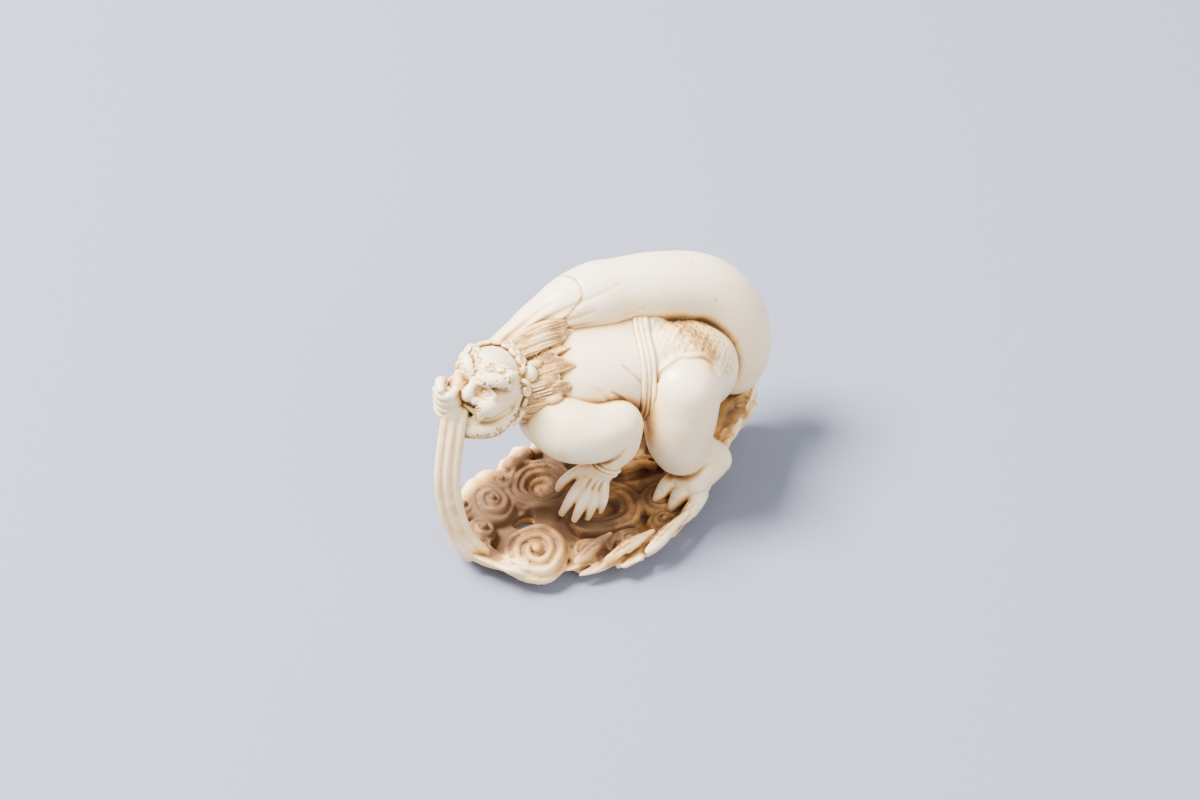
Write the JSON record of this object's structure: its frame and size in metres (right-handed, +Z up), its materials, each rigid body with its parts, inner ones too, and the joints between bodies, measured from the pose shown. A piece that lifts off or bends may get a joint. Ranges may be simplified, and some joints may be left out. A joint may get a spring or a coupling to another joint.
{
  "type": "netsuke",
  "caption": "Carved netsuke: a crouching wind god under a full bag of wind, on a pierced open dish of curling cloud, with a flat underside to stand on.",
  "frame": {"origin": "middle of the box's underside, on the surface that the carving stands on", "axes": "+X from the head and the strap towards the tail of the bag, -Y towards the side with the hand and foot on the cloud, +Z up"},
  "size_m": [0.051, 0.0278, 0.0301],
  "materials": {
    "ivory": "hand-polished old ivory, cream on the high forms and stained tea brown in the recesses"
  },
  "bodies": {
    "root": {"netsuke": "ivory"}
  },
  "joints": []
}
